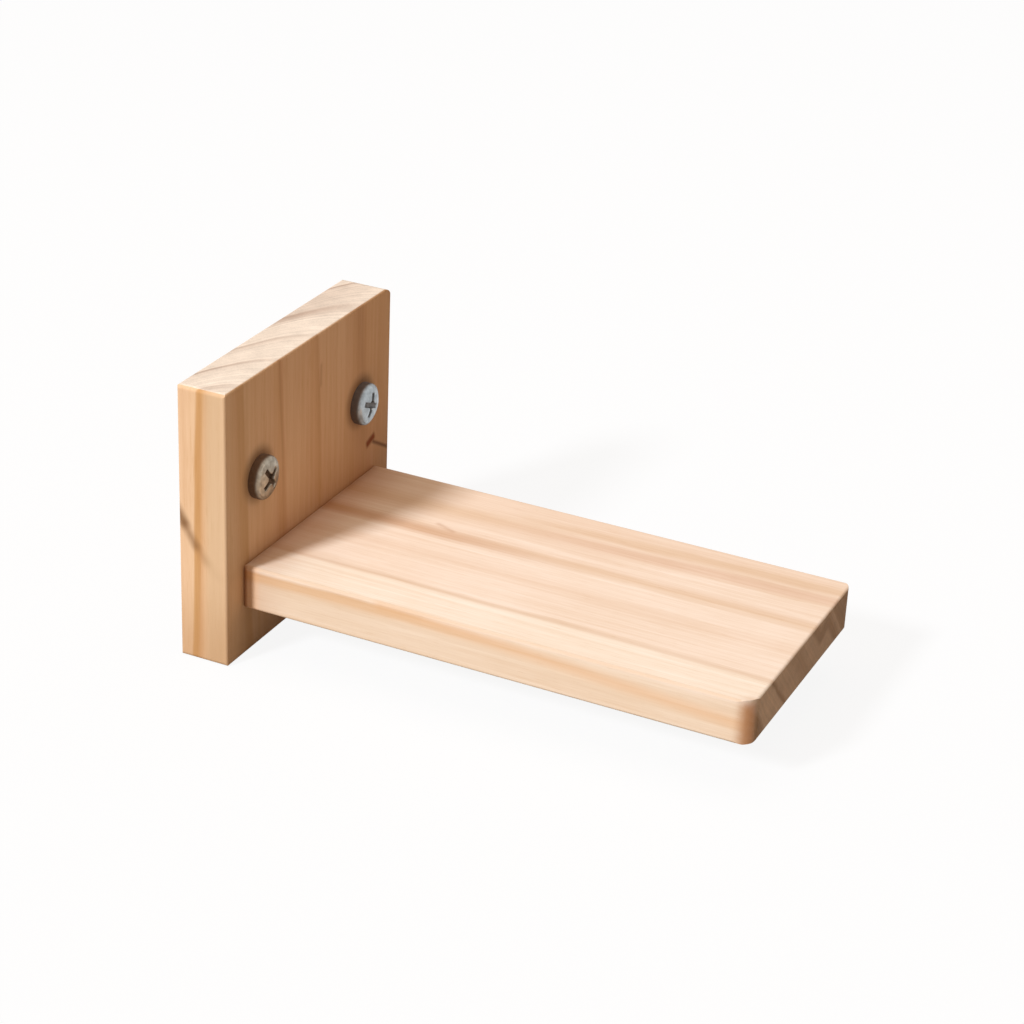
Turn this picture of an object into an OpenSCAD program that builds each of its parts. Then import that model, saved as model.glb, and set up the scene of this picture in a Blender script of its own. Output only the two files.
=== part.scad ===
// Bolt-on wooden step for a pet cage: an upright pine backplate carries a level step board.
// Two bolts pass through the backplate and the cage mesh, and clamp the mesh with a washer and a nut each.
// The origin is on the back face, midway between the two bolts. +X runs along the step, away from the cage.

/* [Backplate] */
// Width of the backplate, across the cage
board_w = 92; // [84:1:120]
// Height of the backplate, along its grain
board_h = 82; // [74:1:110]
// Thickness of the backplate
board_t = 15; // [12:0.5:20]
// Radius of the backplate's two left corners, seen from the front
board_left_r = 1.2; // [1:0.1:5]
// Radius of the backplate's two right corners, which are sanded rounder
board_right_r = 4; // [1:0.1:5]
// Radius of the sanded long edges of both boards
edge_r = 0.8; // [0.3:0.1:1]

/* [Step board] */
// Length of the step, from the backplate to its front end
step_l = 150; // [100:5:260]
// Width of the step
step_w = 75; // [60:1:84]
// Thickness of the step
step_t = 13; // [10:0.5:16]
// Height of the step's underside above the backplate's lower edge
step_lift = 15; // [8:1:20]
// Radius of the step's front left corner, seen from above
step_left_r = 5; // [2:0.5:20]
// Radius of the step's front right corner, which is sanded less
step_right_r = 3.5; // [2:0.5:20]

/* [Joint screws] */
// Distance between the two wood screws that hold the step to the backplate
screw_spacing = 44; // [24:1:50]
// Length of a wood screw, head included
screw_len = 50; // [35:5:60]
// Outer diameter of a wood screw
screw_d = 4; // [3:0.5:5]
// Diameter of a wood screw's countersunk head
screw_head_d = 8; // [6.5:0.5:9]
// Height of the cone under a wood screw's head
screw_head_h = 2.4; // [1.8:0.1:3]
// Height of the straight rim of a wood screw's head
screw_rim_h = 0.4; // [0.2:0.1:0.8]
// Length of a wood screw's point
screw_point_l = 5; // [3:0.5:8]
// Depth of the screw heads below the back face
screw_sink = 0.3; // [0.1:0.1:1]

/* [Cage bolts] */
// Thread diameter of a cage bolt
bolt_d = 6; // [5:0.5:6.5]
// Distance of each cage bolt from its side edge of the backplate
bolt_inset = 17.5; // [14:0.5:24]
// Height of the cage bolts above the backplate's lower edge
bolt_lift = 51.5; // [48:0.5:60]
// Diameter of a cage bolt's head
head_d = 12.6; // [11:0.2:16]
// Height of the straight rim of a cage bolt's head
head_rim_h = 2.7; // [1.5:0.1:3]
// Rise of the crown above the rim
head_rise = 1.2; // [0.6:0.1:2]
// Angle of the cross in the left bolt's head
cross_turn_left = 54; // [0:1:90]
// Angle of the cross in the right bolt's head
cross_turn_right = 22; // [0:1:90]
// Length of the chamfer at a bolt's tip
tip_chamfer = 0.7; // [0.3:0.1:1]
// Length of thread that shows past a nut that is backed off all the way
thread_reserve = 0.2; // [0.2:0.1:3]

/* [Washers and nuts] */
// Outer diameter of a clamping washer
washer_d = 18; // [15:0.5:22]
// Thickness of a clamping washer
washer_t = 1.4; // [1:0.1:2.5]
// Width of a nut across its flats
nut_flats = 10; // [9:0.5:11]
// Thickness of a nut
nut_t = 4.8; // [4:0.1:6]
// Depth of the cone at each end of a nut's bore
nut_mouth = 0.5; // [0.3:0.1:0.8]
// Travel of a nut from tight to backed off, which is room for the cage wire
nut_travel = 3; // [2:0.5:6]
// Angle at which the left nut came tight
nut_turn_left = 12; // [0:1:60]
// Angle at which the right nut came tight
nut_turn_right = 41; // [0:1:60]

/* [Clearances] */
// Radial clearance of a cage bolt in the backplate
bolt_gap = 0.3; // [0.2:0.05:0.6]
// Radial clearance of a cage bolt in its washer
washer_gap = 0.2; // [0.1:0.05:0.5]
// Radial clearance between the threads of a nut and its bolt
thread_gap = 0.08; // [0.03:0.01:0.1]
// Radial clearance of a wood screw in the backplate
shank_gap = 0.15; // [0.1:0.05:0.4]
// Radial clearance of a wood screw's head in its countersink
seat_gap = 0.1; // [0.05:0.05:0.3]
// Radial clearance of a wood screw in the step board
pilot_gap = 0.05; // [0.03:0.01:0.1]

/* [Hidden] */
$fn = 96;
hexagon = 6;
// Overrun of every cut past the face that it opens
over = 1;

// Places of the pieces
board_base = -bolt_lift;
step_base = board_base + step_lift;
screw_z = step_base + step_t / 2;
bolt_y = board_w / 2 - bolt_inset;
screw_y = screw_spacing / 2;

// Cage bolt: the tail carries the washer, the nut, its travel and the reserve
bolt_r = bolt_d / 2;
head_r = head_d / 2;
head_h = head_rim_h + head_rise;
bolt_tail = washer_t + nut_t + nut_travel + thread_reserve;
bolt_len = board_t + bolt_tail;
crown_r = (head_r * head_r + head_rise * head_rise) / (2 * head_rise);

// Cross recess of any head, as shares of the head's diameter
cross_span_share = 0.6;
cross_width_share = 0.125;
cross_depth_share = 0.16;
cross_core_share = 0.24;

// Nut
nut_corner_r = nut_flats / 2 / cos(180 / hexagon);
nut_face_share = 0.95;
nut_face_r = nut_face_share * nut_flats / 2;
nut_bevel_angle = 30;
nut_waist_r = nut_face_r + nut_t / 2 / tan(nut_bevel_angle);

wood_pale = "burlywood";
wood_tan = "tan";
zinc = "silver";
brass_zinc = "darkkhaki";

// What is cut off a corner at the origin to round it
module corner_waste(r) {
    difference() {
        translate([-over, -over]) square(r + over);
        translate([r, r]) circle(r = r);
    }
}

// A rectangle with its low corner at the origin, rounded by four radii, in turn from that corner towards +X
module round_rect(w, h, radii) {
    difference() {
        square([w, h]);
        corner_waste(radii[0]);
        translate([w, 0]) rotate(90) corner_waste(radii[1]);
        translate([w, h]) rotate(180) corner_waste(radii[2]);
        translate([0, h]) rotate(270) corner_waste(radii[3]);
    }
}

// Turns a solid that stands along +Z so that it lies along +X
module along_x() {
    rotate([0, 90, 0]) children();
}

// Turns a solid that stands along +Z so that it lies along -X
module along_minus_x() {
    rotate([0, -90, 0]) children();
}

// Board of a given size with its low corner at the origin, where three rounded outlines meet.
// left_r and right_r round its edges along X, front_left_r and front_right_r the upright edges at its
// high end, and edge_r the rest.
module board_blank(size, left_r, right_r, front_left_r, front_right_r) {
    intersection() {
        rotate([90, 0, 90]) linear_extrude(size.x)
            round_rect(size.y, size.z, [left_r, right_r, right_r, left_r]);
        translate([0, size.y, 0]) rotate([90, 0, 0]) linear_extrude(size.y)
            round_rect(size.x, size.z, [edge_r, edge_r, edge_r, edge_r]);
        linear_extrude(size.z)
            round_rect(size.x, size.y, [edge_r, front_left_r, front_right_r, edge_r]);
    }
}

// Cross recess that is cut downwards from z = 0 into a head of diameter d
module cross_recess(d) {
    span = cross_span_share * d;
    width = cross_width_share * d;
    depth = cross_depth_share * d;
    core = cross_core_share * d;
    for (turn = [0, 90])
        rotate(turn) translate([-span / 2, -width / 2, -depth]) cube([span, width, depth + over]);
    translate([0, 0, -depth]) cylinder(d1 = width, d2 = core, h = depth);
    cylinder(d = core, h = over);
}

// Wood screw along +X, its head at the back face
module joint_screw_solid() {
    cone_end = screw_rim_h + screw_head_h;
    along_x() difference() {
        union() {
            cylinder(d = screw_head_d, h = screw_rim_h);
            translate([0, 0, screw_rim_h]) cylinder(d1 = screw_head_d, d2 = screw_d, h = screw_head_h);
            translate([0, 0, cone_end]) cylinder(d = screw_d, h = screw_len - cone_end - screw_point_l);
            translate([0, 0, screw_len - screw_point_l]) cylinder(d1 = screw_d, d2 = 0, h = screw_point_l);
        }
        rotate([180, 0, 0]) cross_recess(screw_head_d);
    }
}

// Hole for a wood screw through the backplate, with its countersink
module joint_screw_seat() {
    gap_d = 2 * seat_gap;
    rim_end = screw_sink + screw_rim_h;
    along_x() {
        translate([0, 0, -over]) cylinder(d = screw_head_d + gap_d, h = over + rim_end);
        translate([0, 0, rim_end])
            cylinder(d1 = screw_head_d + gap_d, d2 = screw_d + gap_d, h = screw_head_h);
        cylinder(d = screw_d + 2 * shank_gap, h = board_t + over);
    }
}

// Hole for a wood screw in the step's end grain, as deep as the screw reaches
module joint_screw_pilot() {
    reach = screw_sink + screw_len - board_t;
    pilot_d = screw_d + 2 * pilot_gap;
    along_x() {
        translate([0, 0, -over]) cylinder(d = pilot_d, h = over + reach - screw_point_l);
        translate([0, 0, reach - screw_point_l])
            cylinder(d1 = pilot_d, d2 = 2 * pilot_gap, h = screw_point_l + pilot_gap);
    }
}

// Cage bolt along -X, the underside of its head at z = 0 before it is turned
module cage_bolt_solid(cross_turn) {
    along_minus_x() difference() {
        union() {
            translate([0, 0, -head_rim_h]) cylinder(r = head_r, h = head_rim_h);
            translate([0, 0, -head_rim_h]) intersection() {
                translate([0, 0, crown_r - head_rise]) sphere(r = crown_r);
                translate([0, 0, -head_rise]) cylinder(r = head_r, h = head_rise);
            }
            cylinder(r = bolt_r, h = bolt_len - tip_chamfer);
            translate([0, 0, bolt_len - tip_chamfer])
                cylinder(r1 = bolt_r, r2 = bolt_r - tip_chamfer, h = tip_chamfer);
        }
        translate([0, 0, -head_h]) rotate([180, 0, cross_turn]) cross_recess(head_d);
    }
}

// Washer along -X, its clamping face at z = 0 before it is turned
module clamp_washer_solid() {
    along_minus_x() difference() {
        cylinder(d = washer_d, h = washer_t);
        translate([0, 0, -over]) cylinder(r = bolt_r + washer_gap, h = washer_t + 2 * over);
    }
}

// Nut along -X, its clamping face at z = 0 before it is turned; two cones bevel its corners
module cage_nut_solid(turn) {
    bore_r = bolt_r + thread_gap;
    along_minus_x() difference() {
        intersection() {
            rotate(turn) cylinder(r = nut_corner_r, h = nut_t, $fn = hexagon);
            union() {
                cylinder(r1 = nut_face_r, r2 = nut_waist_r, h = nut_t / 2);
                translate([0, 0, nut_t / 2]) cylinder(r1 = nut_waist_r, r2 = nut_face_r, h = nut_t / 2);
            }
        }
        translate([0, 0, -over]) cylinder(r = bore_r, h = nut_t + 2 * over);
        cylinder(r1 = bore_r + nut_mouth, r2 = bore_r, h = nut_mouth);
        translate([0, 0, nut_t - nut_mouth]) cylinder(r1 = bore_r, r2 = bore_r + nut_mouth, h = nut_mouth);
    }
}

module backplate() {
    color(wood_tan) difference() {
        translate([0, -board_w / 2, board_base])
            board_blank([board_t, board_w, board_h], board_left_r, board_right_r, edge_r, edge_r);
        for (side = [-1, 1]) {
            translate([-over, side * bolt_y, 0]) along_x() cylinder(r = bolt_r + bolt_gap, h = board_t + 2 * over);
            translate([0, side * screw_y, screw_z]) joint_screw_seat();
        }
    }
}

module step_board() {
    color(wood_pale) difference() {
        translate([board_t, -step_w / 2, step_base])
            board_blank([step_l, step_w, step_t], edge_r, edge_r, step_left_r, step_right_r);
        for (side = [-1, 1]) translate([board_t, side * screw_y, screw_z]) joint_screw_pilot();
    }
}

module joint_screw(side) {
    color(brass_zinc) translate([screw_sink, side * screw_y, screw_z]) joint_screw_solid();
}

module cage_bolt(side, cross_turn) {
    color(zinc) translate([board_t, side * bolt_y, 0]) cage_bolt_solid(cross_turn);
}

module clamp_washer(side) {
    color(zinc) translate([0, side * bolt_y, 0]) clamp_washer_solid();
}

module cage_nut(side, turn) {
    color(zinc) translate([-washer_t, side * bolt_y, 0]) cage_nut_solid(turn);
}

backplate();
step_board();
joint_screw(-1);  // joint_screw_left
joint_screw(1);  // joint_screw_right
cage_bolt(-1, cross_turn_left);  // cage_bolt_left
cage_bolt(1, cross_turn_right);  // cage_bolt_right
clamp_washer(-1);  // clamp_washer_left
clamp_washer(1);  // clamp_washer_right
cage_nut(-1, nut_turn_left);  // cage_nut_left
cage_nut(1, nut_turn_right);  // cage_nut_right
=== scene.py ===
import math

import bpy
import numpy as np
from mathutils import Matrix, Vector


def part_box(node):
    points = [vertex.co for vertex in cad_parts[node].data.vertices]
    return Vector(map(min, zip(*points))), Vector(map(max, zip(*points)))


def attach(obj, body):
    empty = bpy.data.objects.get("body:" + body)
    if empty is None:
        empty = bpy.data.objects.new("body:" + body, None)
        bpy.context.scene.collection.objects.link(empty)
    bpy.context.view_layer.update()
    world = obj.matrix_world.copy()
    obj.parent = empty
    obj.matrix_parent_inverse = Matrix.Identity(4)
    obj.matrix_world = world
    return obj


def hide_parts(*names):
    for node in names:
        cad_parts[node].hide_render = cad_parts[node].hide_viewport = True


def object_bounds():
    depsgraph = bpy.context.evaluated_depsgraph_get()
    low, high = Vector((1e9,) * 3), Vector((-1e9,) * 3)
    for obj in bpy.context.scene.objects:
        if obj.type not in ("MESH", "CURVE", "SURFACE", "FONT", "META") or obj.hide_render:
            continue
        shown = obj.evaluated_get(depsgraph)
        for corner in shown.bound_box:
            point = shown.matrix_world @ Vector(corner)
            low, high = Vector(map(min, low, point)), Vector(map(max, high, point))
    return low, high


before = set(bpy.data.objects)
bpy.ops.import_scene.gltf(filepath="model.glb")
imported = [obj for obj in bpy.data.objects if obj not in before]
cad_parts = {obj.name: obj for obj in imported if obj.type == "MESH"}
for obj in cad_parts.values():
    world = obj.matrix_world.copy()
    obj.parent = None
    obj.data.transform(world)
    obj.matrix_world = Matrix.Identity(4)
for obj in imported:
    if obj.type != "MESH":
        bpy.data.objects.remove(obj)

# Lengths below are in millimetres and angles in degrees. mm turns a length into Blender's metres.
mm = 0.001
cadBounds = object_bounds()


# Corners of a CAD node's box in mm, and its middle across X, where the axis of a turned part runs
def findBox(node):
    low, high = (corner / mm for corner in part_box(node))
    return low, high, ((low.y + high.y) / 2, (low.z + high.z) / 2)


boardLow, boardHigh = findBox("backplate")[:2]
stepLow, stepHigh = findBox("step_board")[:2]


# Turns an sRGB hex colour into the linear RGBA that Blender's sockets take
def linearColour(hexText):
    srgb = [int(hexText[place:place + 2], 16) / 255 for place in (1, 3, 5)]
    linear = [value / 12.92 if value <= 0.04045 else ((value + 0.055) / 1.055) ** 2.4 for value in srgb]
    return linear + [1.0]


# Finds a socket by its number, or the first one in use that has the name
def findSocket(sockets, key):
    if isinstance(key, int):
        return sockets[key]
    return next(socket for socket in sockets if socket.name == key and socket.enabled)


# Adds one node. settings are its properties. inputs are values, or the nodes and sockets that feed it, by the
# socket's name or number, or a tuple in the sockets' order. stops are a ramp's positions and linear colours.
def addNode(tree, kind, settings={}, inputs={}, stops=()):
    node = tree.nodes.new("ShaderNode" + kind)
    for name, value in settings.items():
        setattr(node, name, value)
    if isinstance(inputs, tuple):
        inputs = dict(enumerate(inputs))
    for key, value in inputs.items():
        if isinstance(value, bpy.types.Node):
            value = next(socket for socket in value.outputs if socket.enabled)
        socket = findSocket(node.inputs, key)
        if isinstance(value, bpy.types.NodeSocket):
            tree.links.new(value, socket)
        else:
            socket.default_value = value
    for place, (position, colour) in enumerate(stops):
        elements = node.color_ramp.elements
        element = elements[place] if place < 2 else elements.new(position)
        element.position = position
        element.color = colour
    return node


# Settings that many nodes share: a Mix of two colours, and a Map Range that is soft at both ends
colourMix = {"data_type": "RGBA"}
softEnds = {"interpolation_type": "SMOOTHSTEP"}


# Starts a material with an empty tree
def startMaterial(name):
    material = bpy.data.materials.new(name)
    material.use_nodes = True
    material.node_tree.nodes.clear()
    return material, material.node_tree


# Puts new data into the scene as an object
def addObject(name, data):
    holder = bpy.data.objects.new(name, data)
    bpy.context.scene.collection.objects.link(holder)
    return holder


# Camera at the photograph's angle: azimuth runs from -Y towards +X, and roll turns it about its own axis
view = {
    "azimuth": 24.783,
    "elevation": 26.357,
    "roll": 2.540,
    "distance": 717.01,
    "aim": (74.94, 6.76, -11.00),
    "lens": 90.96,
    "sensor": 36.0,
}


def makeCamera():
    azimuth, elevation, roll = (math.radians(view[name]) for name in ("azimuth", "elevation", "roll"))
    back = Vector((math.sin(azimuth) * math.cos(elevation),
                   -math.cos(azimuth) * math.cos(elevation),
                   math.sin(elevation)))
    right = (-back).cross(Vector((0, 0, 1))).normalized()
    up = right.cross(-back)
    rolledRight = math.cos(roll) * right + math.sin(roll) * up
    rolledUp = math.cos(roll) * up - math.sin(roll) * right
    camera = bpy.data.cameras.new("photoCamera")
    camera.sensor_width = view["sensor"]
    camera.lens = view["lens"]
    place = Matrix((rolledRight, rolledUp, back)).transposed().to_4x4()
    place.translation = (Vector(view["aim"]) + back * view["distance"]) * mm
    holder = addObject("photoCamera", camera)
    holder.matrix_world = place
    bpy.context.scene.camera = holder


makeCamera()
print("camera placed")

# Studio: one cool key light from the camera's left, a soft warm light overhead and a warm, even fill.
# A level of 1 is the light at which a white surface that faces the lamp renders as white.
studio = {
    "keyDirection": (0.388, 0.922),  # the way the key light travels, seen from above
    "keyElevation": 35.0,
    "keyLevel": 1.09,
    "keySpread": 9.0,
    "keyColour": "#F1F6FF",
    "topSize": 900.0,
    "topHeight": 900.0,
    "topPower": 3.0,
    "topColour": "#FFEDDC",
    "fillColour": "#FFDDC0",
    "fillLevel": 0.245,
    "floorReach": 3000.0,
    "floorColour": "#AAA49A",
    "floorSeen": "#F4F3F1",  # the paler tone of the same paper where the camera sees it
    "floorWhite": 0.90,  # share of the floor's white that is background and not lit by the lamps
}


def makeLights():
    key = bpy.data.lights.new("keyLight", "SUN")
    key.energy = math.pi * studio["keyLevel"]
    key.angle = math.radians(studio["keySpread"])
    key.color = linearColour(studio["keyColour"])[:3]
    elevation = math.radians(studio["keyElevation"])
    across = Vector(studio["keyDirection"]).normalized() * math.cos(elevation)
    travel = Vector((across.x, across.y, -math.sin(elevation)))
    addObject("keyLight", key).rotation_euler = travel.to_track_quat("-Z", "Y").to_euler()

    top = bpy.data.lights.new("topLight", "AREA")
    top.size = studio["topSize"] * mm
    top.energy = studio["topPower"]
    top.color = linearColour(studio["topColour"])[:3]
    addObject("topLight", top).location = (0, 0, studio["topHeight"] * mm)


# Gives 1 for the rays that show the background: from the camera, off metal and through glass
def backgroundRays(tree):
    path = addNode(tree, "LightPath")
    reflected = addNode(tree, "Math", {"operation": "MAXIMUM"},
                        (path.outputs["Is Camera Ray"], path.outputs["Is Glossy Ray"]))
    return addNode(tree, "Math", {"operation": "MAXIMUM"}, (reflected, path.outputs["Is Transmission Ray"]))


def makeWorld():
    world = bpy.data.worlds.new("studioWorld")
    world.use_nodes = True
    tree = world.node_tree
    tree.nodes.clear()
    fill = addNode(tree, "Background", {}, (linearColour(studio["fillColour"]), studio["fillLevel"]))
    white = addNode(tree, "Background", {}, ((1, 1, 1, 1), 1.0))
    mixed = addNode(tree, "MixShader", {}, (backgroundRays(tree), fill, white))
    addNode(tree, "OutputWorld", {}, {"Surface": mixed})
    bpy.context.scene.world = world


# A pale paper floor, flat out to its edge. It is matt, so it takes a soft shadow and mirrors nothing.
def makeFloor():
    material, tree = startMaterial("palePaperFloor")
    seen = backgroundRays(tree)
    tone = addNode(tree, "Mix", colourMix, {"Factor": seen, "A": linearColour(studio["floorColour"]),
                                            "B": linearColour(studio["floorSeen"])})
    paper = addNode(tree, "BsdfDiffuse", {}, {"Color": tone})
    white = addNode(tree, "Emission", {}, ((1, 1, 1, 1), 1.0))
    share = addNode(tree, "Math", {"operation": "MULTIPLY"}, (seen, studio["floorWhite"]))
    mixed = addNode(tree, "MixShader", {}, (share, paper, white))
    addNode(tree, "OutputMaterial", {}, {"Surface": mixed})
    corners = np.array([(-1, -1, 0), (1, -1, 0), (1, 1, 0), (-1, 1, 0)]) * studio["floorReach"]
    corners[:, 2] = cadBounds[0][2] / mm
    mesh = bpy.data.meshes.new("floor")
    mesh.from_pydata((corners * mm).tolist(), [], [(0, 1, 2, 3)])
    mesh.materials.append(material)
    floor = addObject("floor", mesh)


makeLights()
makeWorld()
makeFloor()
print("studio lit")

# Pine, sawn, planed and sanded, with no varnish: matt, with soft early wood and darker late-wood lines.
# along, across and depth are the axes, X being 0, along the fibres, across the rings and into the board.
# A ring that meets the main face at the place q lies deeper in the board at
# q - bend[0] * depth - bend[1] * depth squared.
stepPine = {
    "along": 0,
    "across": 1,
    "depth": 2,
    "face": stepHigh.z,
    "bend": (-0.95, 0.0),
    # Between the first two places across the board, the drift of the rings for each millimetre along it
    # changes by the third
    "drifts": [(-34.0, -27.0, 0.009), (12.0, 20.0, -0.045)],
    "tones": {
        "cream": "#F7E3CE",
        "pale": "#F9E9D4",
        "peach": "#F1D9C1",
        "rose": "#E9CBB1",
        "late": "#DDB999",
        "tan": "#E8CBAD",
        "greyLine": "#EAD1B7",
        "sideTan": "#E3BC94",
        "sideCream": "#EAD0B3",
    },
    # Places of the rings across the top face, at the backplate and at the front end
    "ringsStart": [
        (-54, "sideTan"), (-48, "sideCream"), (-42.0, "sideCream"), (-40.4, "sideTan"), (-38.8, "sideTan"),
        (-37.8, "cream"), (-36.8, "pale"),
        (-24.2, "pale"), (-23.1, "greyLine"), (-22.2, "greyLine"), (-20.8, "cream"), (-11, "cream"),
        (-5.8, "peach"), (-1.5, "cream"), (3.9, "cream"), (6.6, "late"), (8.9, "late"),
        (11.2, "peach"), (14.0, "cream"), (16.5, "peach"), (19.0, "tan"), (21.5, "tan"), (25.0, "peach"),
        (33, "peach"), (40, "tan"),
    ],
    "ringsEnd": [
        (-54, "sideTan"), (-49, "sideCream"), (-44.0, "sideCream"), (-39.5, "sideCream"), (-37.8, "cream"),
        (-36.8, "pale"),
        (-24.4, "pale"), (-23.2, "greyLine"), (-22.4, "greyLine"), (-21.0, "cream"), (-12, "cream"),
        (-5.5, "peach"), (0, "cream"), (6.0, "cream"), (9.8, "tan"), (12.4, "peach"),
        (14.4, "cream"), (15.0, "peach"), (17.2, "rose"), (20.2, "rose"), (21.9, "peach"), (23.8, "tan"),
        (26.2, "tan"), (28.2, "peach"), (36, "peach"),
    ],
    "blend": (48.0, 105.0),  # the places along the board between which the first rings turn into the second
    "faceFade": 0.0,  # how far the rings fade into cream on the wide face
    "endFrom": (0.88, 0.995),  # how far the surface faces along the fibres where end grain starts and is full
    "endFade": 1.0,  # how strong the end grain's rings are beside the main face
    "endPale": "#D1B090",
    "endDark": "#AA8562",
    "marks": [
        # A faint streak on the top
        {"from": (49.0, 12.4, stepHigh.z), "to": (56.0, 9.6, stepHigh.z), "normal": (0, 0, 1),
         "width": 1.1, "soft": 0.9, "colour": "#C79C79", "strength": 0.45},
        # Painted shade where the step meets the backplate: warm shade of light bounced off the backplate,
        # darkest at the joint
        {"from": (stepLow.x, stepLow.y, stepHigh.z), "to": (stepLow.x, stepHigh.y, stepHigh.z),
         "normal": (0, 0, 1), "width": 17.0, "soft": 8.5, "colour": "#A86430", "strength": 0.42},
        {"from": (stepLow.x, stepLow.y, stepHigh.z), "to": (stepLow.x, stepHigh.y, stepHigh.z),
         "normal": (0, 0, 1), "width": 3.0, "soft": 2.6, "colour": "#8C5029", "strength": 0.42},
        # Late wood that leaves the near side's upper edge
        {"from": (56.0, stepLow.y, -24.2), "to": (168.0, stepLow.y, -30.9), "normal": (0, 1, 0),
         "width": 3.2, "soft": 1.7, "deep": 0.3, "colour": "#E3AC74", "strength": 0.7},
        {"from": (18.0, stepLow.y, -26.4), "to": (70.0, stepLow.y, -25.0), "normal": (0, 1, 0),
         "width": 1.0, "soft": 1.0, "deep": 0.3, "colour": "#DFB68C", "strength": 0.45},
        # Painted shade on the near corner's rounding, where it turns from the lit near side to the shaded
        # front end
        {"from": (stepHigh.x - 1.4, stepLow.y + 1.5, stepLow.z - 4),
         "to": (stepHigh.x - 1.4, stepLow.y + 1.5, stepHigh.z - 0.5), "normal": (0.72, -0.694, 0),
         "width": 5.2, "soft": 2.2, "deep": 1.4, "colour": "#BC7A42", "strength": 0.85},
        # Painted shade that dims the highlight on the near upper edge, and painted shade on the near side
        # beside the backplate: a warm strip in its cast shadow and a dark line at the joint
        {"from": (stepLow.x, stepLow.y + 0.2, stepHigh.z - 0.2),
         "to": (stepHigh.x - 3.6, stepLow.y + 0.2, stepHigh.z - 0.2), "normal": (0, -0.707, 0.707),
         "width": 1.1, "soft": 0.5, "deep": 0.3, "colour": "#CDAE8C", "strength": 0.7},
        {"from": (stepLow.x + 2.0, stepLow.y, -42.0), "to": (stepLow.x + 2.0, stepLow.y, -20.0),
         "normal": (0, 1, 0), "width": 5.0, "soft": 1.5, "deep": 0.3, "colour": "#E9AC74", "strength": 0.5},
        {"from": (stepLow.x, stepLow.y, -42.0), "to": (stepLow.x, stepLow.y, -20.0),
         "normal": (0, 1, 0), "width": 2.2, "soft": 0.6, "deep": 0.3, "colour": "#8A4A18", "strength": 0.8},
    ],
    "paintedShadeHalos": [],
}

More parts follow.
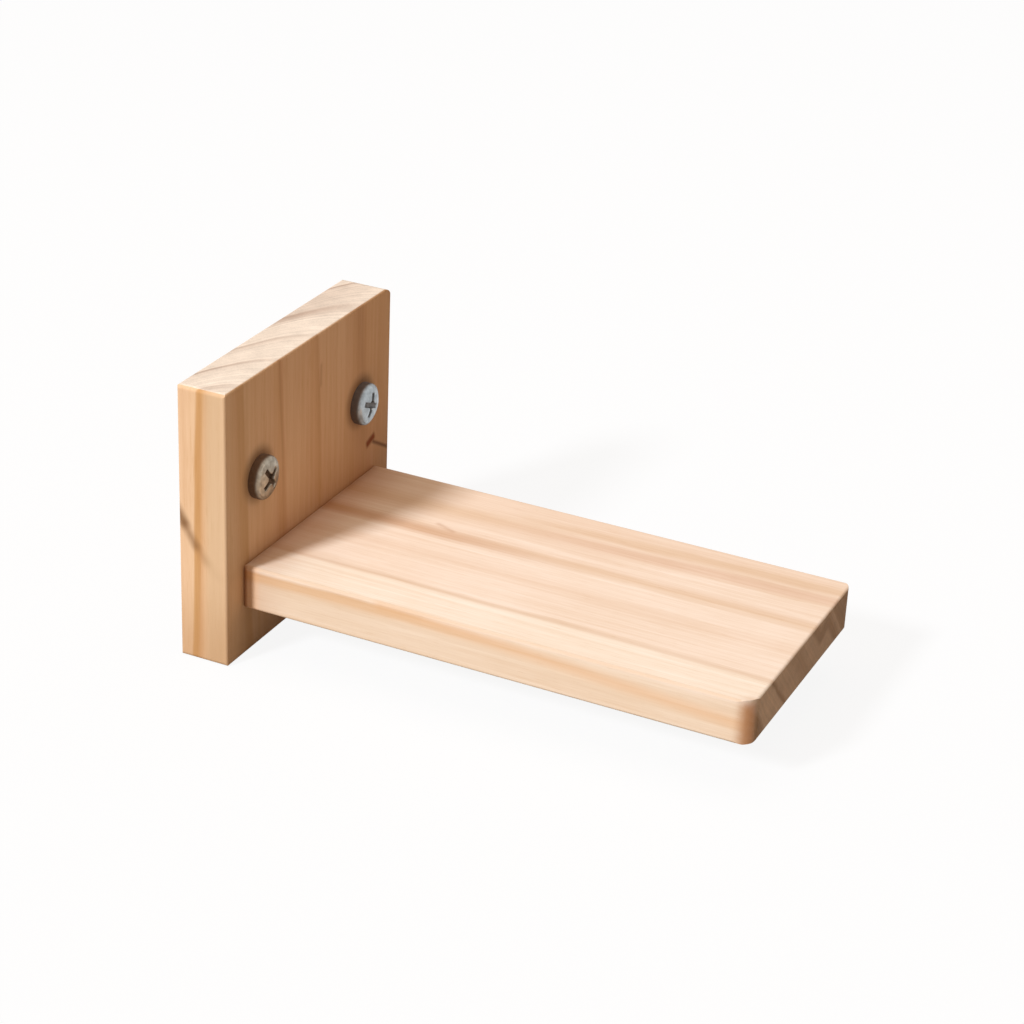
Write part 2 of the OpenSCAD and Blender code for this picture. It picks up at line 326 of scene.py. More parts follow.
backplatePine = {
    "along": 2,
    "across": 1,
    "depth": 0,
    "face": boardHigh.x,
    "bend": (0.35, 0.075),
    "drifts": [(-60.0, -59.0, 0.055)],
    "tones": {
        "cream": "#E5BB92",
        "pale": "#EAC298",
        "peach": "#DDAE80",
        "orange": "#D09E68",
        "rose": "#D39F75",
        "tan": "#CE9C6E",
        "greyLine": "#BE8A5E",
    },
    # Places of the rings across the front face, at the upper and at the lower end
    "ringsStart": [
        (-54, "cream"), (-43, "pale"), (-39.5, "peach"), (-38.2, "orange"), (-35.8, "orange"),
        (-34.6, "pale"), (-22, "cream"), (-17.2, "peach"), (-16.2, "greyLine"), (-15.4, "rose"),
        (-14.4, "cream"), (-3, "cream"), (2, "peach"), (4.5, "tan"), (5.5, "cream"), (20, "cream"),
        (26, "tan"), (29.5, "greyLine"), (31, "tan"), (33, "peach"), (44, "peach"), (54, "peach"),
        (56.5, "greyLine"), (58, "cream"), (70, "cream"),
    ],
    "ringsEnd": [
        (-54, "cream"), (-43, "pale"), (-39.5, "peach"), (-38.2, "orange"), (-35.8, "orange"),
        (-34.6, "pale"), (-22, "cream"), (-17.6, "rose"), (-16.4, "rose"), (-15.0, "rose"),
        (-13.8, "cream"), (-3, "cream"), (3, "peach"), (4.5, "peach"), (6, "cream"), (20, "peach"),
        (27, "rose"), (30, "tan"), (32, "rose"), (35, "rose"), (46, "rose"), (54, "peach"),
        (56.5, "tan"), (58, "cream"), (70, "cream"),
    ],
    "blend": (10.0, -30.0),
    "faceFade": 0.45,
    "endFrom": (0.78, 0.97),
    "endFade": 0.3,
    "endPale": "#F4E7D5",
    "endDark": "#BDA592",
    "marks": [
        # A small dark T on the front, and a faint streak higher up
        {"from": (boardHigh.x, 32.2, -15.2), "to": (boardHigh.x, 37.2, -13.6), "normal": (1, 0, 0),
         "width": 2.2, "soft": 0.8, "colour": "#8E460E", "strength": 1.0},
        {"from": (boardHigh.x, 36.0, -15.3), "to": (boardHigh.x, 45.9, -21.0), "normal": (1, 0, 0),
         "width": 1.0, "soft": 0.5, "deep": 0.3, "colour": "#7A4E2A", "strength": 0.95},
        {"from": (boardHigh.x, 4.9, 14.0), "to": (boardHigh.x, 5.1, 21.0), "normal": (1, 0, 0),
         "width": 0.7, "soft": 0.9, "colour": "#A87450", "strength": 0.5},
        # A run of resin down the near side, paler as it goes
        {"from": (-2.0, -boardHigh.y, -4.0), "to": (2.4, -boardHigh.y, -11.2), "normal": (0, 1, 0),
         "width": 2.8, "soft": 1.4, "colour": "#7F5A38", "strength": 0.8},
        {"from": (1.0, -boardHigh.y, -9.2), "to": (6.0, -boardHigh.y, -17.2), "normal": (0, 1, 0),
         "width": 2.3, "soft": 1.3, "colour": "#8C6440", "strength": 0.65},
        {"from": (4.6, -boardHigh.y, -15.2), "to": (9.4, -boardHigh.y, -21.2), "normal": (0, 1, 0),
         "width": 2.2, "soft": 1.5, "colour": "#A0744A", "strength": 0.4},
        {"from": (8.0, -boardHigh.y, -19.6), "to": (13.0, -boardHigh.y, -25.0), "normal": (0, 1, 0),
         "width": 2.4, "soft": 1.8, "colour": "#B08258", "strength": 0.25},
        # Greyer wood beside the front edge of the near side, and the lower end darker towards its bottom
        {"from": (11.5, -boardHigh.y, 40.0), "to": (11.5, -boardHigh.y, -60.0), "normal": (0, 1, 0),
         "width": 6.0, "soft": 1.8, "colour": "#D3B28A", "strength": 0.6},
        {"from": (7.5, -80.0, boardLow.z), "to": (7.5, 80.0, boardLow.z), "normal": (1, 0, 0),
         "width": 32.0, "soft": 14.0, "colour": "#A97A4C", "strength": 0.34},
    ],
    # Painted shade round the bolt heads, most above and to the left of their axes, whose
    # height is 0
    "paintedShadeHalos": [
        {"at": (boardHigh.x, findBox("cage_bolt_" + side)[2][0] - 0.7, 0.8), "inner": 6.0, "outer": 9.8,
         "colour": "#7A5236", "strength": 0.5}
        for side in ("left", "right")
    ],
}

# What both boards share. A pattern's length lies along the fibres and its width across them, in mm. detail is
# the noise's octaves past the first, and reach is how far the pattern shifts the rings or changes the tone.
# Fibres and pores are ten times as wide as real ones, which are too fine to show.
pineGrain = {
    "wanders": [
        {"length": 55.0, "width": 16.0, "detail": 1.5, "seed": 3.1, "reach": 1.1},
        {"length": 24.0, "width": 9.0, "detail": 1.5, "seed": 3.1, "reach": 0.8},
        {"length": 9.0, "width": 2.4, "detail": 1.5, "seed": 3.1, "reach": 0.18},
    ],
    "layers": {
        "streak": {"length": 90.0, "width": 1.5, "detail": 2.0, "seed": 11.3, "reach": 0.060},
        "fibre": {"length": 12.0, "width": 0.34, "detail": 2.0, "seed": 17.9, "reach": 0.040},
        "blotch": {"length": 38.0, "width": 22.0, "detail": 2.0, "seed": 29.1, "reach": 0.035},
    },
    "warmth": (0.6, 1.0, 1.5),  # the shares of a layer's reach by which red, green and blue change
    "canal": {"length": 5.0, "width": 0.20, "detail": 0.0, "seed": 23.5, "reach": 0.10},
    "canalFrom": (0.70, 0.78),  # a canal starts and is full at these levels of its noise
    "pore": {"length": 0.32, "width": 0.32, "detail": 2.0, "seed": 31.7, "reach": 0.07},
    "mottle": {"length": 5.0, "width": 5.0, "detail": 2.0, "seed": 41.3, "reach": 0.07},
    "thinRing": {"width": 1.5, "detail": 1.0, "reach": 0.07},
    "middle": (0.3, 0.7),  # the levels of a noise between which a layer goes through its whole reach
    "faceFrom": (0.45, 0.90),  # how far the surface faces out where the wide face starts and is full
    "endFadeDepth": 12.0,  # how deep below the main face the end grain's rings are at full strength
    "relief": 0.008,
    "fibreRelief": 0.7,  # the fibres' height as a share of the streaks'
    "roughness": (0.54, 0.70),
    "roughnessFrom": (0.2, 0.8),
    "specular": 0.1,  # bare sanded wood scatters light and hardly mirrors it
}
noiseForm = {
    "roughness": 0.55,
    "seedShares": (1.0, 0.7, 1.3),  # how far along X, Y and Z a seed moves a noise
}


# Gives an object's own places in mm
def placesInMm(tree):
    own = addNode(tree, "TexCoord").outputs["Object"]
    return addNode(tree, "VectorMath", {"operation": "SCALE"}, {0: own, "Scale": 1 / mm})


# Gives a noise from 0 to 1, whose cells are length long on the axis along and width wide on the others
def grainNoise(tree, places, along, pattern):
    sizes = [pattern["width"]] * 3
    sizes[along] = pattern["length"]
    scaled = addNode(tree, "Mapping", {}, {
        "Vector": places, "Location": [pattern["seed"] * share for share in noiseForm["seedShares"]],
        "Scale": [1 / size for size in sizes]})
    return addNode(tree, "TexNoise", {}, {"Vector": scaled, "Scale": 1.0, "Detail": pattern["detail"],
                                          "Roughness": noiseForm["roughness"]})


# Gives the rings' colour at a ring place: each ring's tone is a stop of one ramp across the board
def ringColour(tree, ringPlace, rings, tones):
    first, last = rings[0][0], rings[-1][0]
    share = addNode(tree, "MapRange", {}, (ringPlace, first, last, 0, 1))
    stops = [((place - first) / (last - first), linearColour(tones[tone])) for place, tone in rings]
    return addNode(tree, "ValToRGB", {}, {"Fac": share}, stops)


# Gives a mark's strength along a stroke between two points of a face, and 0 away from it and deep in the
# wood. A mark reaches twice its width into the wood, unless it says how deep.
def strokeMask(tree, places, mark):
    start, end, normal = (Vector(mark[name]) for name in ("from", "to", "normal"))
    along = (end - start).normalized()
    turn = Matrix((along, normal.cross(along), normal)).transposed().to_euler()
    local = addNode(tree, "Mapping", {"vector_type": "TEXTURE"},
                    {"Vector": places, "Location": (start + end) / 2, "Rotation": turn})
    away = addNode(tree, "VectorMath", {"operation": "ABSOLUTE"}, (local,))
    axes = addNode(tree, "SeparateXYZ", {}, (away,))
    mask, soft = mark["strength"], mark["soft"]
    deep = mark.get("deep", 2 * mark["width"])
    for place, reach in enumerate(((end - start).length / 2, mark["width"] / 2, deep)):
        inside = addNode(tree, "MapRange", softEnds, (axes.outputs[place], reach + soft, reach - soft, 0, 1))
        mask = addNode(tree, "Math", {"operation": "MULTIPLY"}, (inside, mask))
    return mask


# Gives a halo's strength up to its inner distance from a point, and 0 past its outer distance
def haloMask(tree, places, halo):
    away = addNode(tree, "VectorMath", {"operation": "DISTANCE"}, (places, halo["at"]))
    return addNode(tree, "MapRange", softEnds, (away, halo["outer"], halo["inner"], 0, halo["strength"]))


# Ring place: across + bend[0] * depth + bend[1] * depth squared + drift * along, with the rings' wander.
# Also gives the place along the board and the depth.
def findRingPlace(tree, places, board):
    axes = addNode(tree, "SeparateXYZ", {}, (places,))
    along, across, depthAxis = (axes.outputs[board[key]] for key in ("along", "across", "depth"))
    depth = addNode(tree, "Math", {"operation": "SUBTRACT"}, (board["face"], depthAxis))
    squared = addNode(tree, "Math", {"operation": "MULTIPLY"}, (depth, depth))
    ringPlace = across
    steps = [(depth, board["bend"][0]), (squared, board["bend"][1])]
    for start, end, change in board["drifts"]:
        steps.append((along, addNode(tree, "MapRange", softEnds, (across, start, end, 0, change))))
    for value, factor in steps:
        ringPlace = addNode(tree, "Math", {"operation": "MULTIPLY_ADD"}, (value, factor, ringPlace))
    for pattern in pineGrain["wanders"]:
        wave = grainNoise(tree, places, board["along"], pattern)
        wander = addNode(tree, "MapRange", {}, (wave, 0, 1, -pattern["reach"], pattern["reach"]))
        ringPlace = addNode(tree, "Math", {"operation": "ADD"}, (ringPlace, wander))
    return ringPlace, along, depth


def makePine(name, board):
    material, tree = startMaterial(name)
    grain, tones, middle = pineGrain, board["tones"], pineGrain["middle"]
    places = placesInMm(tree)
    ringPlace, along, depth = findRingPlace(tree, places, board)
    startRings = ringColour(tree, ringPlace, board["ringsStart"], tones)
    endRings = ringColour(tree, ringPlace, board["ringsEnd"], tones)
    towardsEnd = addNode(tree, "MapRange", softEnds, (along, *board["blend"], 0, 1))
    rings = addNode(tree, "Mix", colourMix, {"Factor": towardsEnd, "A": startRings, "B": endRings})

    # How far the surface faces along the fibres, and how far it faces out of the wide face
    normal = addNode(tree, "TexCoord").outputs["Normal"]
    normal = addNode(tree, "VectorMath", {"operation": "ABSOLUTE"}, (normal,))
    facing = addNode(tree, "SeparateXYZ", {}, (normal,))
    onEnd = addNode(tree, "MapRange", softEnds, (facing.outputs[board["along"]], *board["endFrom"], 0, 1))
    onFace = addNode(tree, "MapRange", softEnds,
                     (facing.outputs[board["depth"]], *grain["faceFrom"], 0, board["faceFade"]))
    cream = linearColour(tones["cream"])
    colour = addNode(tree, "Mix", colourMix, {"Factor": onFace, "A": rings, "B": cream})

    # Streaks, fibres and blotches lift and lower the tone, and short resin canals darken it
    canal = grainNoise(tree, places, board["along"], grain["canal"])
    veil = addNode(tree, "MapRange", {}, (canal, *grain["canalFrom"], 0, -grain["canal"]["reach"]))
    noises = {}
    for layer, pattern in grain["layers"].items():
        noises[layer] = grainNoise(tree, places, board["along"], pattern)
        part = addNode(tree, "MapRange", {}, (noises[layer], *middle, -pattern["reach"], pattern["reach"]))
        veil = addNode(tree, "Math", {"operation": "ADD"}, (veil, part))
    lift = addNode(tree, "VectorMath", {"operation": "MULTIPLY_ADD"}, (veil, grain["warmth"], (1, 1, 1)))
    colour = addNode(tree, "VectorMath", {"operation": "MULTIPLY"}, (colour, lift))
    # Marks of the wood, and painted shade by the joint, the step's near corner and edge and round the bolt
    # heads, are mixed in over the grain
    stainsAndShades = [(haloMask(tree, places, halo), halo) for halo in board["paintedShadeHalos"]]
    stainsAndShades += [(strokeMask(tree, places, mark), mark) for mark in board["marks"]]
    for mask, stainOrShade in stainsAndShades:
        stainOrShadeColour = linearColour(stainOrShade["colour"])
        colour = addNode(tree, "Mix", colourMix, {"Factor": mask, "A": colour, "B": stainOrShadeColour})

    # End grain is paler where it was sanded and darker where it was sawn. The late wood stays as dark bands,
    # and pores, thin rings and mottling change the tone.
    green = addNode(tree, "SeparateColor", {}, (rings,)).outputs[1]
    paleGreen, lateGreen = (linearColour(tones[tone])[1] for tone in ("pale", "greyLine"))
    lateWood = addNode(tree, "MapRange", {}, (green, paleGreen, lateGreen, 0, 1))
    fade = addNode(tree, "MapRange", {}, (depth, 0, grain["endFadeDepth"], board["endFade"], 1))
    lateWood = addNode(tree, "Math", {"operation": "MULTIPLY"}, (lateWood, fade))
    endColour = addNode(tree, "Mix", colourMix, {"Factor": lateWood, "A": linearColour(board["endPale"]),
                                                 "B": linearColour(board["endDark"])})
    poreReach, mottleReach, ringReach = (grain[name]["reach"] for name in ("pore", "mottle", "thinRing"))
    pores = grainNoise(tree, places, board["along"], grain["pore"])
    specks = addNode(tree, "MapRange", {}, (pores, *middle, -poreReach, poreReach))
    mottle = grainNoise(tree, places, board["along"], grain["mottle"])
    patches = addNode(tree, "MapRange", {}, (mottle, *middle, 1 - mottleReach, 1 + mottleReach))
    thinRings = addNode(tree, "TexNoise", {"noise_dimensions": "1D"},
                        {"W": ringPlace, "Scale": 1 / grain["thinRing"]["width"],
                         "Detail": grain["thinRing"]["detail"]})
    thinRings = addNode(tree, "MapRange", {}, (thinRings, *middle, -ringReach, ringReach))
    for part in (patches, thinRings):
        specks = addNode(tree, "Math", {"operation": "ADD"}, (specks, part))
    endColour = addNode(tree, "VectorMath", {"operation": "SCALE"}, {0: endColour, "Scale": specks})
    colour = addNode(tree, "Mix", colourMix, {"Factor": onEnd, "A": colour, "B": endColour})

    height = addNode(tree, "Math", {"operation": "MULTIPLY_ADD"},
                     (noises["fibre"], grain["fibreRelief"], noises["streak"]))
    bump = addNode(tree, "Bump", {}, {"Height": height, "Strength": 1.0, "Distance": grain["relief"] * mm})
    roughness = addNode(tree, "MapRange", {}, (noises["fibre"], *grain["roughnessFrom"], *grain["roughness"]))
    shader = addNode(tree, "BsdfPrincipled", {}, {"Base Color": colour, "Roughness": roughness,
                                                  "Normal": bump, "Specular IOR Level": grain["specular"]})
    addNode(tree, "OutputMaterial", {}, {"Surface": shader})
    return material


# Gives a CAD node one material and keeps its shape
def finishNode(name, material):
    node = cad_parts[name]
    node.data.materials.clear()
    node.data.materials.append(material)


finishNode("backplate", makePine("planedPineBackplate", backplatePine))
finishNode("step_board", makePine("planedPineStep", stepPine))
print("boards finished")

# Plated steel: turned or cold-headed parts under a thin plate, so bright and a little cloudy, with fine
# wear lines and painted shade in the recesses, a dark and matt colour. A surface attribute, cavity, says
# where the painted shade lies.
brightZinc = {
    "colour": "#B2B8BB",
    "cloudColour": "#959B9E",
    # The painted shade's colour in recesses, thread roots, the nut's bore and on the bolt heads' rims
    "paintedShade": "#5A4C44",
    "paintedShadeRoughness": 0.4,
    "bareUpTo": 0.2,  # the cavity at which the painted shade starts to hide the metal
    "roughness": (0.28, 0.46),
    "roughnessFrom": (0.4, 0.9),
    "cloudSize": 1.6,
    "cloudDetail": 3.0,
    "cloudFrom": (0.35, 0.65),
    "scratch": {"length": 4.0, "width": 0.12, "detail": 1.0, "seed": 5.3},
    "scratchAlong": 2,  # the wear lines run up and down
    "scratchShare": 0.4,
    "relief": 0.006,
}
# Zinc painted warm for the near bolt, as a painted reflection of the wooden step, and the straw-coloured zinc
# of wood screws
paintedReflectionZinc = dict(brightZinc, colour="#B4A998", cloudColour="#92887A", paintedShade="#5C3C1E")
yellowZinc = dict(brightZinc, colour="#CDB97C", cloudColour="#BC9A58", paintedShade="#4A4030")


def makePlatedSteel(name, plate):
    material, tree = startMaterial(name)
    places = placesInMm(tree)
    cloud = addNode(tree, "TexNoise", {}, {"Vector": places, "Scale": 1 / plate["cloudSize"],
                                           "Detail": plate["cloudDetail"]})
    scratch = grainNoise(tree, places, plate["scratchAlong"], plate["scratch"])
    clouded = addNode(tree, "MapRange", {}, (cloud, *plate["cloudFrom"], 0, 1))
    colour = addNode(tree, "Mix", colourMix, {"Factor": clouded, "A": linearColour(plate["colour"]),
                                              "B": linearColour(plate["cloudColour"])})
    # Painted shade: where the cavity attribute is high, a dark, matt colour that is not metal
    cavity = addNode(tree, "Attribute", {"attribute_name": "cavity"}).outputs["Fac"]
    paintedShade = linearColour(plate["paintedShade"])
    colour = addNode(tree, "Mix", colourMix, {"Factor": cavity, "A": colour, "B": paintedShade})
    metallic = addNode(tree, "MapRange", {}, (cavity, plate["bareUpTo"], 1, 1, 0))
    worn = addNode(tree, "Math", {"operation": "MULTIPLY_ADD"}, (scratch, plate["scratchShare"], cloud))
    polish = addNode(tree, "MapRange", {}, (worn, *plate["roughnessFrom"], *plate["roughness"]))
    matt = addNode(tree, "Math", {"operation": "MULTIPLY_ADD", "use_clamp": True},
                   (cavity, plate["paintedShadeRoughness"], polish))
    bump = addNode(tree, "Bump", {}, {"Height": worn, "Strength": 1.0, "Distance": plate["relief"] * mm})
    shader = addNode(tree, "BsdfPrincipled", {}, {"Base Color": colour, "Metallic": metallic,
                                                  "Roughness": matt, "Normal": bump})
    addNode(tree, "OutputMaterial", {}, {"Surface": shader})
    return material


zincSteel = makePlatedSteel("brightZincPlatedSteel", brightZinc)
paintedReflectionSteel = makePlatedSteel("zincPlatedSteelWithPaintedReflection", paintedReflectionZinc)
yellowSteel = makePlatedSteel("yellowZincPlatedSteel", yellowZinc)

surface = {
    "sharpAngle": 35.0,  # an edge that bends more is shaded sharp
    "curveSteps": 5,  # points on each rounded corner of a profile
}


# Makes a closed mesh from a grid of points in mm, rings by sides by 3. Each ring joins its own end. With two
# poles the first and last ring close on them, and without poles the last ring joins the first.
def makeSurface(name, grid, poles, cavity, material):
    rings, sides = grid.shape[:2]
    number = np.arange(rings * sides).reshape(rings, sides)
    loops = number if poles is not None else np.vstack([number, number[:1]])
    nextSide = np.roll(loops, -1, axis=1)
    faces = [np.stack([loops[:-1], nextSide[:-1], nextSide[1:], loops[1:]], axis=-1).reshape(-1, 4)]
    points, paintedShade = grid.reshape(-1, 3), cavity.reshape(-1)
    if poles is not None:
        start, end = np.full(sides, rings * sides), np.full(sides, rings * sides + 1)
        faces.append(np.stack([start, nextSide[0], loops[0]], axis=-1))
        faces.append(np.stack([end, loops[-1], nextSide[-1]], axis=-1))
        points = np.vstack([points, poles])
        paintedShade = np.concatenate([paintedShade, cavity[[0, -1], 0]])
    # Six times the volume is the sum of the faces' triple products. A negative one turns every face over.
    volume = 0
    for face in faces:
        for side in range(1, face.shape[1] - 1):
            first, second, third = (points[face[:, corner]] for corner in (0, side, side + 1))
            volume += np.einsum("ij,ij->", first, np.cross(second, third))
    if volume < 0:
        faces = [face[:, ::-1] for face in faces]
    mesh = bpy.data.meshes.new(name)
    mesh.from_pydata((points * mm).tolist(), [], [corners for face in faces for corners in face.tolist()])
    # The cavity attribute carries the painted shade to the steel's material
    mesh.attributes.new("cavity", "FLOAT", "POINT").data.foreach_set("value", paintedShade.astype(np.float32))
    mesh.shade_smooth()
    mesh.set_sharp_from_angle(angle=math.radians(surface["sharpAngle"]))
    mesh.materials.append(material)
    return addObject(name, mesh)


# Sets radii and places along X round an axis through centre: x is the place, and y and z are
# centre + radius * (cos, sin)
def roundAxis(angles, radii, places, centre):
    across = centre[0] + radii * np.cos(angles)
    up = centre[1] + radii * np.sin(angles)
    return np.stack([places + 0 * radii, across, up], axis=-1)


# Stacks rings, each of which is one number or one number for each angle: value + 0 * angle
def stackRings(angles, *parts):
    return np.vstack([part + 0 * angles for part in parts])


# Rounds the corners of a profile. Each corner has a place, a radius and the length that its curve cuts from
# both sides. The curve is the parabola (1-t)^2 A + 2t(1-t) P + t^2 B from A on one side, past the corner P,
# to B on the other.
def softProfile(corners, closed=False):
    points = np.array([corner[:2] for corner in corners], float)
    cuts = np.array([corner[2] for corner in corners])[:, None]
    before, after = np.roll(points, 1, axis=0), np.roll(points, -1, axis=0)
    toBefore = (before - points) / np.linalg.norm(before - points, axis=1, keepdims=True)
    toAfter = (after - points) / np.linalg.norm(after - points, axis=1, keepdims=True)
    if not closed:
        cuts[[0, -1]] = 0
    start, end = points + toBefore * cuts, points + toAfter * cuts
    t = np.linspace(0, 1, surface["curveSteps"])[:, None, None]
    curves = (1 - t) ** 2 * start + 2 * t * (1 - t) * points + t ** 2 * end
    curves = curves.transpose(1, 0, 2)
    return np.vstack([curve if cut > 0 else curve[:1] for curve, cut in zip(curves, cuts[:, 0])])


# What the heads of bolt and screw share: a cross recess with steep walls, whose floor rises to the arms' tips
headForm = {
    "armSteps": 7,
    "openSteps": 16,
    "crownRings": 12,
    "lipSteps": ((0.4, 0.25), (0.0, 1.0)),  # shares of the lip, out from the recess and down from the crown
    "floorShares": (0.95, 0.91, 0.75, 0.55, 0.35, 0.15),  # shares of the outline at the recess's inner rings
    "wallShare": 0.5,  # how far up its wall the first of them lies
    "floorRise": 0.62,
    "floorPower": 1.3,
    "fullShade": 0.3,  # the share of the recess's depth at which its painted shade is full
    "leastCosine": 1e-6,  # keeps the divisions below from reaching zero
}


# Angles round a head in one turn, closest together at the corners of its cross recess, where the sine of the
# angle is the arm's half width over its reach
def crossAngles(head):
    tip = math.asin(head["recessHalfWidth"] / head["recessReach"])
    turns = (0, tip, math.pi / 4, math.pi / 2 - tip, math.pi / 2)
    counts = [headForm[name] for name in ("armSteps", "openSteps", "openSteps", "armSteps")]
    quarter = np.concatenate([np.linspace(start, end, count, endpoint=False)
                              for start, end, count in zip(turns, turns[1:], counts)])
    return (quarter + np.arange(4)[:, None] * math.pi / 2).reshape(-1)


# Radii, heights and painted shade of a head's top, from its rim to the middle of its cross recess, and the
# height of that middle. The crown lies at rise * (1 - (radius / head radius) ^ 2). The outline of the recess
# is the further one of a round core and four arms: reach over cos, or half width over sin, whichever is
# nearer.
# Its floor lies at rise - depth * (1 - floorRise * (radius / reach) ^ floorPower).
def headTop(angles, head):
    reach, halfWidth, core, depth, lip = (
        head[name] for name in ("recessReach", "recessHalfWidth", "recessCore", "recessDepth", "lip"))
    cosine = np.maximum(np.abs(np.cos(angles)), headForm["leastCosine"])
    sine = np.maximum(np.abs(np.sin(angles)), headForm["leastCosine"])
    armAcross = np.minimum(reach / cosine, halfWidth / sine)
    armUp = np.minimum(reach / sine, halfWidth / cosine)
    outline = np.maximum(np.maximum(armAcross, armUp), core)
    crownEdge = head["radius"] - head["edgeCut"]

    def crown(radii):
        return head["rise"] * (1 - (radii / head["radius"]) ** 2)

    inwards = np.linspace(0, 1, headForm["crownRings"])[:, None]
    radii = [crownEdge + (outline + lip - crownEdge) * inwards]
    heights = [crown(radii[0])]
    for grow, drop in headForm["lipSteps"]:
        radii.append((outline + grow * lip)[None])
        heights.append(crown(radii[-1]) - drop * lip)
    floorRadii = outline * np.array(headForm["floorShares"])[:, None]
    risen = headForm["floorRise"] * np.minimum(floorRadii / reach, 1) ** headForm["floorPower"]
    floorHeights = -depth * (1 - risen) + head["rise"]
    floorHeights[0] = floorHeights[0] + headForm["wallShare"] * (crown(floorRadii[0]) - floorHeights[0])
    radii, heights = np.vstack([*radii, floorRadii]), np.vstack([*heights, floorHeights])
    # Painted shade in the cross recess, darker the deeper it lies below the crown
    paintedShade = np.clip((crown(radii) - heights) / (headForm["fullShade"] * depth), 0, 1)
    return radii, heights, paintedShade, head["rise"] - depth


# A thread's wave over one pitch and its depth there: flat for an eighth at the crest and a sixth at the root
threadWave = ([0, 0.125, 0.479, 0.646, 1], [0, 0, 1, 1, 0])


# Radius of a right-handed screw thread: crest - depth * wave(place / pitch - angle / turn)
def threadRadius(angles, places, crest, thread):
    turn = (places / thread["pitch"] - angles / (2 * math.pi)) % 1
    return crest - thread["threadDepth"] * np.interp(turn, *threadWave)


cageBolt = {
    "rimHeight": 2.7,
    "rise": 1.2,
    "filletCut": 0.2,
    "underCut": 0.12,
    "edgeCut": 0.8,
    "edgeAim": 0.15,  # the share of the rise that the rim's rounding aims at, two cuts further in
    # Painted shade on the rim of the head
    "rimGrime": 0.92,
    "rimGrimeOver": 0.2,  # how far past the rim's corner its painted shade fades out
    "lip": 0.12,
    "recessReach": 3.77,
    "recessHalfWidth": 0.79,
    "recessCore": 1.51,
    "recessDepth": 2.0,
    # Painted shade in the cross recess, stronger on the left bolt
    "recessPaintedShade": {"left": 0.85, "right": 0.58},
    "neck": 1.2,  # the smooth length under the head
    "neckRadius": 2.68,
    "threadCrest": 2.96,
    "threadDepth": 0.58,
    # Painted shade in the thread roots
    "threadPaintedShade": 0.35,
    "pitch": 1.0,
    "stepsPerPitch": 14,
    "tipRadius": 2.25,
    "crossTurn": {"left": 54.0, "right": 22.0},  # clockwise from upright, seen from the front
    # The left bolt takes the zinc with the painted warm reflection
    "steel": {"left": paintedReflectionSteel, "right": zincSteel},
}


# Cage bolt along X: a threaded shank with a chamfered tip, and a crowned head with a cross recess. Over one
# pitch the thread's radius fades into the neck's, and it is at most tipRadius + the distance from the tip.
def makeCageBolt(side):
    low, high, centre = findBox("cage_bolt_" + side)
    head = dict(cageBolt, radius=(high.y - low.y) / 2)
    rim = high.x - head["rise"]
    seat = rim - head["rimHeight"]
    shankEnd = seat - head["neck"]
    local = crossAngles(head)
    angles = local + math.radians(90 - head["crossTurn"][side])
    count = int((shankEnd - low.x) / head["pitch"] * head["stepsPerPitch"])
    places = np.linspace(low.x, shankEnd, count)[:, None]
    thread = threadRadius(angles, places, head["threadCrest"], head)
    fade = np.clip((shankEnd - places) / head["pitch"], 0, 1)
    thread = head["neckRadius"] + (thread - head["neckRadius"]) * fade
    thread = np.minimum(thread, head["tipRadius"] + places - low.x)
    # The first and last corner only aim the curves beside them
    under = softProfile([(shankEnd, head["neckRadius"], 0), (seat, head["neckRadius"], head["filletCut"]),
                         (seat, head["radius"], head["underCut"]), (rim, head["radius"], head["edgeCut"]),
                         (rim + head["rise"] * head["edgeAim"], head["radius"] - 2 * head["edgeCut"], 0)])
    under = under[1:-1]
    topRadii, topHeights, topShade, floor = headTop(local, head)
    threadShade = np.clip((head["threadCrest"] - thread) / head["threadDepth"], 0, 1) * head["threadPaintedShade"]
    rimShade = np.clip((rim + head["rimGrimeOver"] - under[:, :1]) / head["edgeCut"], 0, 1) * head["rimGrime"]
    radii = stackRings(angles, thread, under[:, 1:], topRadii[1:])
    places = stackRings(angles, places, under[:, :1], rim + topHeights[1:])
    cavity = stackRings(angles, threadShade, rimShade, topShade[1:] * head["recessPaintedShade"][side])
    poles = np.array([(low.x, *centre), (rim + floor, *centre)])
    grid = roundAxis(angles, radii, places, centre)
    bolt = makeSurface("cageBolt_" + side, grid, poles, cavity, head["steel"][side])
    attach(bolt, "bolt_" + side)
    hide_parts("cage_bolt_" + side)


clampWasher = {
    "outerCut": 0.30,
    "burrCut": 0.10,
    "holeRadius": 3.2,
    "sides": 128,
}


# Stamped washer: a closed profile of places and radii carried round the axis, with a wide soft edge where the
# punch went in
def makeClampWasher(side):
    low, high, centre = findBox("clamp_washer_" + side)
    outer, hole = (high.y - low.y) / 2, clampWasher["holeRadius"]
    burr, soft = clampWasher["burrCut"], clampWasher["outerCut"]
    profile = softProfile([(high.x, hole, burr), (high.x, outer, burr),
                           (low.x, outer, soft), (low.x, hole, soft)], closed=True)
    angles = np.arange(clampWasher["sides"]) * 2 * math.pi / clampWasher["sides"]
    grid = roundAxis(angles, stackRings(angles, profile[:, 1:]), profile[:, :1], centre)
    washer = makeSurface("clampWasher_" + side, grid, None, np.zeros(grid.shape[:2]), zincSteel)
    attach(washer, "washer_" + side)
    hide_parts("clamp_washer_" + side)


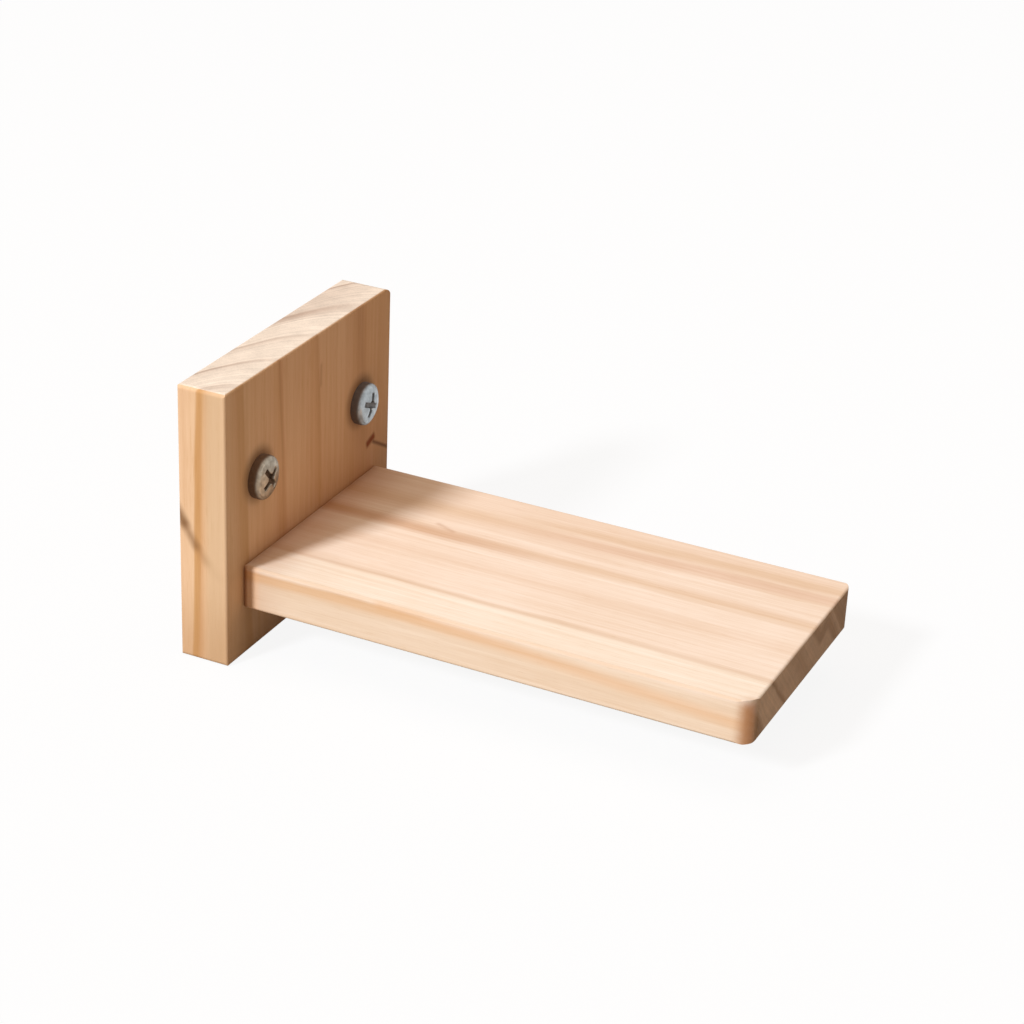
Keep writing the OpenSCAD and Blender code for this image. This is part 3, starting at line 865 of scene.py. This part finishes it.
cageNut = {
    "flats": 10.0,
    "cornerSoft": 0.10,
    "faceShare": 0.95,  # the flat face's radius as a share of half the width across flats
    "bevelAngle": 30.0,
    "edge": 0.05,  # width of the softened edges
    "rub": 0.04,  # how far the corners and the mouth are rubbed down
    "faceDrop": 0.02,
    "bevelShare": 0.98,
    "mouth": 0.5,
    "boreRadius": 3.08,
    "boreInset": 0.08,
    "boreRings": 64,
    # Painted shade in the threaded bore
    "borePaintedShade": 0.5,
    "threadRise": 0.05,  # how far the thread's crests stand into the bore
    "threadDepth": 0.25,
    "pitch": 1.0,
    "sides": 144,
    "turn": {"left": 12.0, "right": 41.0},  # of a corner, clockwise from upright, seen from the front
}


# Hexagon nut: its side is the hexagon apothem / cos(angle from the middle of the nearest flat), and a cone
# bevels each end, so that it drops by (side - face) * tan(bevel angle), most at the corners. The threaded
# bore opens to its mouth: its radius is at least mouth - the distance from the nearer end.
def makeCageNut(side):
    nut = cageNut
    low, high, centre = findBox("cage_nut_" + side)
    local = np.arange(nut["sides"]) * 2 * math.pi / nut["sides"]
    angles = local + math.radians(90 - nut["turn"][side])
    sixth = math.pi / 3
    fromFlat = (local % sixth) - sixth / 2
    apothem = nut["flats"] / 2
    hexSide = np.minimum(apothem / np.cos(fromFlat), apothem / math.cos(sixth / 2) - nut["cornerSoft"])
    face = nut["faceShare"] * apothem
    bevel = (hexSide - face) * math.tan(math.radians(nut["bevelAngle"]))
    mouth = nut["boreRadius"] + nut["mouth"]
    # Radii from the bore's mouth out to the corner, and how far below the nut's end each of them lies
    radii = [mouth, mouth + nut["edge"], face - nut["edge"], face, (face + hexSide) / 2, hexSide - nut["rub"],
             hexSide]
    drops = [nut["rub"], 0, 0, nut["faceDrop"], bevel / 2, bevel * nut["bevelShare"], bevel + nut["edge"]]
    outerRadii = stackRings(angles, *radii, *radii[::-1])
    outerPlaces = [high.x - drop for drop in drops] + [low.x + drop for drop in drops[::-1]]
    borePlaces = np.linspace(low.x + nut["boreInset"], high.x - nut["boreInset"], nut["boreRings"])[:, None]
    root = nut["boreRadius"] + nut["threadDepth"] - nut["threadRise"]
    bore = threadRadius(angles, borePlaces, root, nut)
    bore = np.maximum(bore, mouth - np.minimum(borePlaces - low.x, high.x - borePlaces))
    places = stackRings(angles, *outerPlaces, borePlaces)
    grid = roundAxis(angles, np.vstack([outerRadii, bore]), places, centre)
    cavity = np.vstack([0 * outerRadii, nut["borePaintedShade"] + 0 * bore])
    piece = makeSurface("cageNut_" + side, grid, None, cavity, zincSteel)
    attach(piece, "nut_" + side)
    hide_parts("cage_nut_" + side)


jointScrew = {
    "rimHeight": 0.4,
    "coneHeight": 2.4,
    "coneCut": 0.3,
    "rise": 0.0,
    "underCut": 0.1,
    "edgeCut": 0.12,
    "lip": 0.08,
    "recessReach": 2.38,
    "recessHalfWidth": 0.38,
    "recessCore": 0.95,
    "recessDepth": 1.3,
    "shankRadius": 1.55,
    "shankStart": 2.0,  # where the shank is straight, behind the cone
    "threadFrom": 18.0,
    "threadCrest": 1.96,
    "threadDepth": 0.62,
    "pitch": 1.8,
    "runInTurns": 2,
    "pointLength": 5.0,
    "pointShort": 0.02,
    "stepsPerPitch": 16,
    "turn": {"left": 31.0, "right": 68.0},  # of the cross, from +Y towards +Z
}


# Countersunk wood screw along X, its head at the low end: a smooth shank, then a thread out to a point. The
# thread's radius rises from the shank's over runInTurns turns, and over the last pointLength it is scaled by
# the distance from the point / pointLength.
def makeJointScrew(side):
    screw = jointScrew
    low, high, centre = findBox("joint_screw_" + side)
    head = dict(screw, radius=(high.y - low.y) / 2)
    local = crossAngles(head)
    angles = local + math.radians(screw["turn"][side])
    topRadii, topHeights, topShade, floor = headTop(local, head)
    coneEnd = low.x + screw["rimHeight"] + screw["coneHeight"]
    # The first corner only aims the curve beside it
    under = softProfile([(low.x, 0, 0), (low.x, head["radius"], screw["edgeCut"]),
                         (low.x + screw["rimHeight"], head["radius"], screw["underCut"]),
                         (coneEnd, screw["shankRadius"], screw["coneCut"]),
                         (coneEnd + screw["shankStart"], screw["shankRadius"], 0)])[1:]
    count = int((high.x - screw["threadFrom"]) / screw["pitch"] * screw["stepsPerPitch"])
    places = np.linspace(screw["threadFrom"], high.x - screw["pointShort"], count)[:, None]
    thread = threadRadius(angles, places, screw["threadCrest"], screw)
    fade = np.clip((places - screw["threadFrom"]) / (screw["runInTurns"] * screw["pitch"]), 0, 1)
    thread = screw["shankRadius"] + (thread - screw["shankRadius"]) * fade
    thread = thread * np.clip((high.x - places) / screw["pointLength"], 0, 1)
    # The head's top runs outwards from its middle and leaves its first ring, the rim, to the profile
    radii = stackRings(angles, topRadii[:0:-1], under[:, 1:], thread)
    places = stackRings(angles, low.x - topHeights[:0:-1], under[:, :1], places)
    # Painted shade in the screw head's cross recess
    cavity = stackRings(angles, topShade[:0:-1], 0 * under[:, 1:], 0 * thread)
    poles = np.array([(low.x - floor, *centre), (high.x, *centre)])
    grid = roundAxis(angles, radii, places, centre)
    piece = makeSurface("jointScrew_" + side, grid, poles, cavity, yellowSteel)
    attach(piece, "platform")
    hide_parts("joint_screw_" + side)


for side in ("left", "right"):
    makeCageBolt(side)
    makeClampWasher(side)
    makeCageNut(side)
    makeJointScrew(side)
print("bolts, washers, nuts and screws made")

scene = bpy.context.scene
scene.view_settings.view_transform = "Standard"
